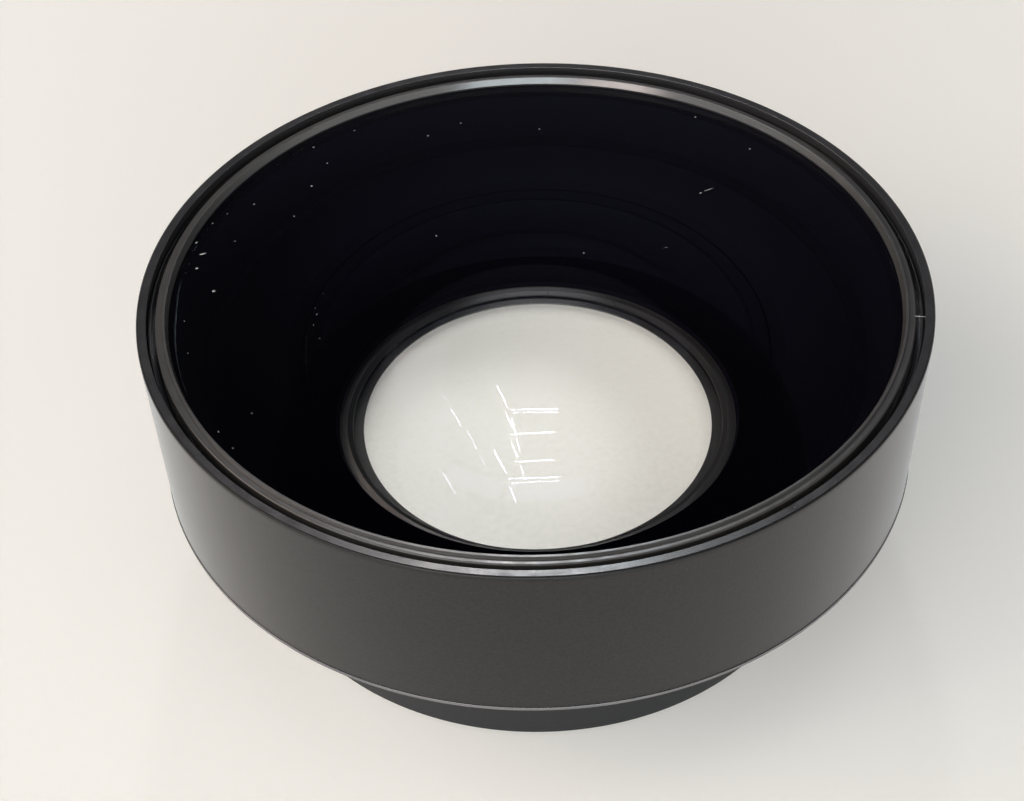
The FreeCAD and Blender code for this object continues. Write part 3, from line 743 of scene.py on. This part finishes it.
def threaded(name, corners, radius, z_low, z_high, segments=360):
    """A turned cell whose outer wall between two heights is a screw thread.

    The phase is height / pitch - turn / (2 pi); a trapezoid wave of it, flat on the crest and the root,
    cuts the radius by up to the thread's depth, and fades out over the run-out at each end.
    """
    points, facing = rounded(corners, radius, True, 4)
    wall = (np.abs(points[:-1, 0] - THREAD_R) < 1e-6) & (points[1:, 1] - points[:-1, 1] > 1.0)
    at = int(np.flatnonzero(wall)[0])
    rows = int((z_high - z_low) / THREAD_PITCH * ROWS_PER_TURN)
    heights = np.linspace(points[at, 1], points[at + 1, 1], rows + 1)[1:-1]
    extra = np.stack([np.full(len(heights), THREAD_R), heights], 1)
    points = np.vstack([points[:at + 1], extra, points[at + 1:]])[:-1]
    turn = np.linspace(0, 2 * np.pi, segments, endpoint=False)
    phase = points[:, 1:] / THREAD_PITCH - turn[None] / (2 * np.pi)
    wave = np.clip(np.abs((phase % 1) - 0.5) * 2 * FLANK - CREST, 0, 1)
    nearest = np.minimum(points[:, 1:] - z_low, z_high - points[:, 1:])
    fade = np.clip(nearest / RUN_OUT, 0, 1)
    outer = np.abs(points[:, :1] - THREAD_R) < 0.02
    reach = points[:, :1] - np.where(outer, wave * fade * THREAD_DEPTH, 0)
    grid = np.stack([reach * np.cos(turn), reach * np.sin(turn),
                     np.broadcast_to(points[:, 1:], reach.shape)], 2)
    count = len(points)
    low = np.arange(count) * segments
    high = np.roll(low, -1)
    here, after = np.arange(segments), np.roll(np.arange(segments), -1)
    quads = np.stack([low[:, None] + here, low[:, None] + after,
                      high[:, None] + after, high[:, None] + here], 2).reshape(-1, 4)
    along = np.roll(grid, -1, 0) - np.roll(grid, 1, 0)
    across = np.roll(grid, -1, 1) - np.roll(grid, 1, 1)
    direction = np.cross(across, along)
    direction /= np.linalg.norm(direction, axis=2, keepdims=True)
    flat_direction = direction.reshape(-1, 3)
    piece = new_piece(name, grid.reshape(-1, 3), quads, np.empty((0, 4), int),
                      np.zeros(len(quads)), flat_direction[quads.reshape(-1)])
    print(f"{name}: {len(quads)} faces, {round((z_high - z_low) / THREAD_PITCH, 1)} turns of thread")
    return piece


CUP_BORE_R, CELL_BORE_R = THREAD_R - 1.3, REAR_LENS_R + FIT_GAP
GROOVE_R, GROOVE_FOOT_Z, GROOVE_TOP_Z = CELL_R - 0.7, 5.0, 5.9
RING_SEAT_R, RING_SEAT_Z = REAR_RING_R + THREAD_GAP, REAR_RING_Z - 0.15
LIP_HEIGHT, LIP_FLARE = 0.6, 1.1
LIP_TOP_Z = round(float(flint_flat_z), 3)
cell = threaded("rear_cell_thread", [
    (CUP_BORE_R, 0.0), (THREAD_R - THREAD_CHAMFER, 0.0), (THREAD_R, THREAD_CHAMFER),
    (THREAD_R, THREAD_LENGTH), (CELL_R, THREAD_LENGTH), (CELL_R, GROOVE_FOOT_Z), (GROOVE_R, GROOVE_FOOT_Z),
    (GROOVE_R, GROOVE_TOP_Z), (CELL_R, GROOVE_TOP_Z), (CELL_R, CELL_TOP_Z), (RING_SEAT_R, CELL_TOP_Z),
    (RING_SEAT_R, RING_SEAT_Z), (CELL_BORE_R, RING_SEAT_Z), (CELL_BORE_R, LIP_TOP_Z),
    (REAR_CLEAR_R, LIP_TOP_Z), (REAR_CLEAR_R, LIP_TOP_Z - LIP_HEIGHT),
    (CUP_BORE_R, LIP_TOP_Z - LIP_HEIGHT - LIP_FLARE)], 0.03, THREAD_CHAMFER, THREAD_LENGTH)
dress(cell, ["rear_lens_cell"], [cell_black])

# %% [markdown]
# ## Small parts that keep their CAD shape
# The soft rings, the shims, the spring ring, the key pin and the grub screws are right as they are. They
# only get their finish.

# %% Finishes for the carried-over nodes
kept = {
    "front_lens_gasket": soft_black, "sleeve_cushion_ring": soft_black, "rear_lens_gasket": soft_black,
    "cell_o_ring": soft_black, "front_seat_shim": foil, "cell_seat_shim": foil, "sleeve_key_pin": steel,
    "baffle_snap_ring": steel, "cell_lock_screws": steel}
for node, material in kept.items():
    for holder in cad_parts[node].material_slots:
        holder.material = material
print("carried over:", len(kept))

# %% [markdown]
# ## The table
# The lens stands on a pale matte sheet with a fine speckle. Its paleness comes from its own colour and
# from a faint glow that only the camera, mirrors and glass see. More lamps would also whiten it, but they
# would grey the black metal too.

# %% Table
HALF_TABLE = 3.0
TABLE_GLOW = 0.22
floor_mesh = bpy.data.meshes.new("table")
floor_mesh.from_pydata([(x, y, 0) for x, y in ((-HALF_TABLE, -HALF_TABLE), (HALF_TABLE, -HALF_TABLE),
                                               (HALF_TABLE, HALF_TABLE), (-HALF_TABLE, HALF_TABLE))],
                       [], [(0, 1, 2, 3)])
table = in_scene("table", floor_mesh)
table_paint, tree, shader = fresh("table_pale")
speckle = noise(tree, object_point(tree), 1600, 4.0, 0.7)
path = add(tree, "ShaderNodeLightPath").outputs
seen = calculate(tree, "MAXIMUM", path["Is Camera Ray"], path["Is Glossy Ray"])
seen = calculate(tree, "MAXIMUM", seen, path["Is Transmission Ray"])
feed(tree, shader, {
    "Base Color": two_tone(tree, speckle, (0.80, 0.795, 0.745), (0.91, 0.905, 0.855)),
    "Roughness": 0.7, "Specular IOR Level": 0.2, "Emission Color": (1.0, 0.985, 0.955, 1),
    "Emission Strength": calculate(tree, "MULTIPLY", seen, TABLE_GLOW)})
floor_mesh.materials.append(table_paint)
print("table:", 2 * HALF_TABLE, "m across")

# %% [markdown]
# ## Soft lamps
# A panel overhead and two soft ones in front and to the left light the metal. Two windows low behind the
# camera, one cool and one warm, draw the bright arc at the back of the retaining ring. Two narrow panels
# far behind the lens draw the glints on the near side of the rings. Coated glass would hardly show those
# two, and the shader's glass would, so light linking keeps them off the three glasses.

# %% Lamps
AIM = (0, 0, 0.02)
PLAIN, WARM, COOL = (1.0, 1.0, 1.0), (1.0, 0.86, 0.82), (0.84, 0.95, 1.0)


def area_lamp(name, width, height, strength, colour):
    """A rectangular lamp; strength is its radiance, so size and brightness stay apart."""
    lamp = bpy.data.lights.new(name, "AREA")
    lamp.shape = "RECTANGLE"
    lamp.size, lamp.size_y = width, height
    lamp.energy = strength * width * height * np.pi
    lamp.color = colour
    return lamp


def hang(lamp, place, target):
    """Puts a lamp at a place, turned towards a target."""
    holder = in_scene(lamp.name, lamp)
    holder.location = place
    holder.rotation_mode = "QUATERNION"
    holder.rotation_quaternion = (Vector(target) - Vector(place)).to_track_quat("-Z", "Y")
    return holder


def from_angle(azimuth, elevation, far):
    """A place at an azimuth from the camera's side (towards +X) and an elevation, in degrees."""
    a, e = np.radians([azimuth, elevation])
    return tuple(far * np.array([np.sin(a) * np.cos(e), -np.cos(a) * np.cos(e), np.sin(e)]))


hang(area_lamp("overhead", 1.2, 1.0, 0.6, PLAIN), (0.0, 0.0, 1.4), AIM)
hang(area_lamp("soft_front", 1.1, 0.9, 1.6, (1.0, 0.98, 0.96)), from_angle(-40, 45, 1.6), AIM)
hang(area_lamp("warm_left", 1.2, 0.9, 2.6, (1.0, 0.80, 0.68)), from_angle(-85, 36, 1.6), AIM)
hang(area_lamp("window_cool", 1.10, 0.7, 5.5, COOL), from_angle(3, 15, 2.0), AIM)
hang(area_lamp("window_warm", 0.80, 0.7, 6.0, WARM), from_angle(-27, 15, 2.0), AIM)
ceiling_warm = hang(area_lamp("ceiling_warm", 0.08, 0.30, 17.0, (1.0, 0.88, 0.87)),
                    from_angle(182.1, 46.5, 2.9), AIM)
ceiling_cool = hang(area_lamp("ceiling_cool", 0.12, 0.30, 16.0, (0.86, 0.95, 1.0)),
                    from_angle(179.3, 46.5, 2.9), AIM)
print("soft lamps:", len(bpy.data.lights))


# %% Which pieces a lamp reaches
def link_lamps(lamps, name, pieces, state):
    """Makes lamps light only some pieces (INCLUDE), or all but those (EXCLUDE)."""
    group = bpy.data.collections.new(name)
    for piece in pieces:
        group.objects.link(piece)
    for member in group.collection_objects:
        member.light_linking.link_state = state
    for lamp in lamps:
        lamp.light_linking.receiver_collection = group
    print(name, state.lower() + "d for", [lamp.name for lamp in lamps])


link_lamps([ceiling_warm, ceiling_cool], "coated_glass", [front_lens, crown, flint], "EXCLUDE")

# %% [markdown]
# ## Strip lamps
# The ceiling also has rows of thin strip lamps. They are too thin to light the table, but the front glass
# mirrors them as fine bright strokes. Painting the strokes on the glass would be simpler, but they would
# not move with the view as mirrored lamps do.

# %% Strip lamps on the ceiling
CEILING = 2.0
TUBE_WIDTH, TUBE_GAIN = 0.0030, 1.3
PINKISH, LILAC, GREENISH = (1, 0.93, 0.95), (0.86, 0.82, 1), (0.90, 1, 0.85)
CREAM, BLUISH = (1, 1, 0.88), (0.85, 0.95, 1)


def tube(name, start, stop, strength, colour):
    """A thin strip lamp between two points of the ceiling, facing down."""
    start, stop = np.array(start), np.array(stop)
    lamp = area_lamp(name, np.linalg.norm(stop - start), TUBE_WIDTH, TUBE_GAIN * strength, colour)
    holder = in_scene(name, lamp)
    holder.location = (*((start + stop) / 2), CEILING)
    holder.rotation_euler = (0, 0, np.arctan2(*(stop - start)[::-1]))


strips = [
    ("row_1_far", (-0.097, 1.747), (-0.071, 1.639), 55, PINKISH),
    ("row_1_near", (-0.078, 1.621), (-0.058, 1.543), 45, PINKISH),
    ("row_2_far", (-0.061, 1.586), (-0.051, 1.517), 45, PINKISH),
    ("row_2_near", (-0.050, 1.494), (-0.041, 1.441), 45, PINKISH),
    ("row_3_far", (-0.063, 1.486), (-0.047, 1.421), 45, PINKISH),
    ("row_3_near", (-0.041, 1.385), (-0.034, 1.346), 40, PINKISH),
    ("row_4_far", (-0.102, 1.454), (-0.074, 1.358), 55, PINKISH),
    ("row_4_near", (-0.065, 1.306), (-0.052, 1.247), 45, PINKISH),
    ("cross_1a", (-0.062, 1.625), (0.049, 1.623), 70, LILAC),
    ("cross_1b", (-0.062, 1.610), (0.049, 1.609), 50, LILAC),
    ("cross_2", (-0.062, 1.516), (0.046, 1.521), 110, GREENISH),
    ("cross_3", (-0.054, 1.402), (0.034, 1.406), 95, CREAM),
    ("cross_4a", (-0.070, 1.337), (0.050, 1.339), 90, BLUISH),
    ("cross_4b", (-0.063, 1.321), (0.049, 1.324), 60, BLUISH),
    ("side_1", (-0.227, 1.715), (-0.220, 1.697), 20, PINKISH),
    ("side_2", (-0.206, 1.648), (-0.180, 1.565), 20, PINKISH),
    ("side_3", (-0.165, 1.545), (-0.142, 1.462), 16, PINKISH),
    ("side_4", (-0.135, 1.437), (-0.120, 1.388), 12, PINKISH),
    ("side_5", (-0.218, 1.376), (-0.189, 1.296), 22, PINKISH)]
for strip in strips:
    tube(*strip)
print("strip lamps:", len(strips))

# %% [markdown]
# ## Narrow beams
# Real glass gathers light from a wide field and spreads it over the table under the lens, which straight
# shadow rays can't do. Two narrow lamps above make up for that: their cones just fit the rear glass. The
# same holds for the far side of the rear ring, so a third beam lights only that ring and its cell.

# %% Lamps behind the glass
def beam(name, place, target, radius_mm, blend, energy):
    """A narrow lamp whose cone is as wide as asked for at its target; mirrors don't show it."""
    lamp = bpy.data.lights.new(name, "SPOT")
    lamp.spot_size = 2 * np.arctan(radius_mm * MM / np.linalg.norm(np.subtract(target, place)))
    lamp.spot_blend, lamp.shadow_soft_size, lamp.energy = blend, 0.002, energy
    holder = hang(lamp, place, target)
    holder.visible_glossy = False
    return holder


beam("through_glass", (0, 0, 1.4), (0, 0, 0), 21.6, 0.05, 16.0)
beam("through_glass_near", (-0.05, 0.1, 1.4), (-0.006, -0.008, 0), 21.0, 1.0, 24.0)
far_ring = beam("far_ring", (0, -1.0, 1.0), (0, 0.0235, 0.009), 13.0, 1.0, 240.0)
link_lamps([far_ring], "rear_metal", [rear_ring, cell], "INCLUDE")

# %% [markdown]
# ## The room
# The room is pale behind the camera and dark above and beyond the lens, which keeps the glass dark. A
# picture of a room would do the same, but a ramp over two directions says it in one line each: how far up
# and back a ray goes, and how far beyond the lens.

# %% Room
world = bpy.data.worlds.new("room")
bpy.context.scene.world = world
world.use_nodes = True
room = world.node_tree
background = room.nodes["Background"]
direction = add(room, "ShaderNodeTexCoord").outputs["Generated"]
height = add(room, "ShaderNodeVectorMath", {0: direction, 1: (0.10, 0.35, 0.80)}, operation="DOT_PRODUCT")
beyond = add(room, "ShaderNodeVectorMath", {0: direction, 1: (0, 1.2, 0)}, operation="DOT_PRODUCT")
slant = calculate(room, "MAXIMUM", height.outputs["Value"], beyond.outputs["Value"])
shade = two_tone(room, slant, (0.90, 0.90, 0.89), (0.04, 0.04, 0.05), 0.0, 0.60)
feed(room, background, {"Color": shade, "Strength": 1.0})
print("room:", world.name, "with", len(room.nodes), "nodes")

# %% [markdown]
# ## The camera
# Its height, distance, aim and roll were fitted to the circles of the rim, the glass and the neck in the
# photograph. It could be placed by eye, but a near camera changes the shape of every ellipse, so the fit
# is what makes the picture lie on the photograph.

# %% Camera
ELEVATION = np.radians(42.507)
DISTANCE = 0.236532
LOOK_HEIGHT = 0.0153
AIM_RIGHT, AIM_UP, ROLL = -0.010, 0.005, -0.025
FOCAL_PIXELS, IMAGE_WIDTH, SENSOR = 2500.0, 1024, 36.0
back = np.array([0, -np.cos(ELEVATION), np.sin(ELEVATION)])
place = np.array([0, 0, LOOK_HEIGHT]) + back * DISTANCE
level = np.array([1.0, 0, 0])
ahead = -back + level * AIM_RIGHT + np.cross(level, -back) * AIM_UP
ahead /= np.linalg.norm(ahead)
right = np.cross(ahead, np.cross(level, -back))
right /= np.linalg.norm(right)
up = np.cross(right, ahead)
rolled_right = right * np.cos(ROLL) + up * np.sin(ROLL)
rolled_up = up * np.cos(ROLL) - right * np.sin(ROLL)
eye = bpy.data.cameras.new("photo_camera")
eye.sensor_width = SENSOR
eye.lens = FOCAL_PIXELS / IMAGE_WIDTH * SENSOR
eye.clip_start, eye.clip_end = 0.005, 20
camera = in_scene("photo_camera", eye)
axes = np.stack([rolled_right, rolled_up, -ahead, place], 1)
camera.matrix_world = Matrix([*axes.tolist(), [0, 0, 0, 1]])
bpy.context.scene.camera = camera
bpy.context.scene.view_settings.view_transform = "Standard"
print("camera at", place.round(4))
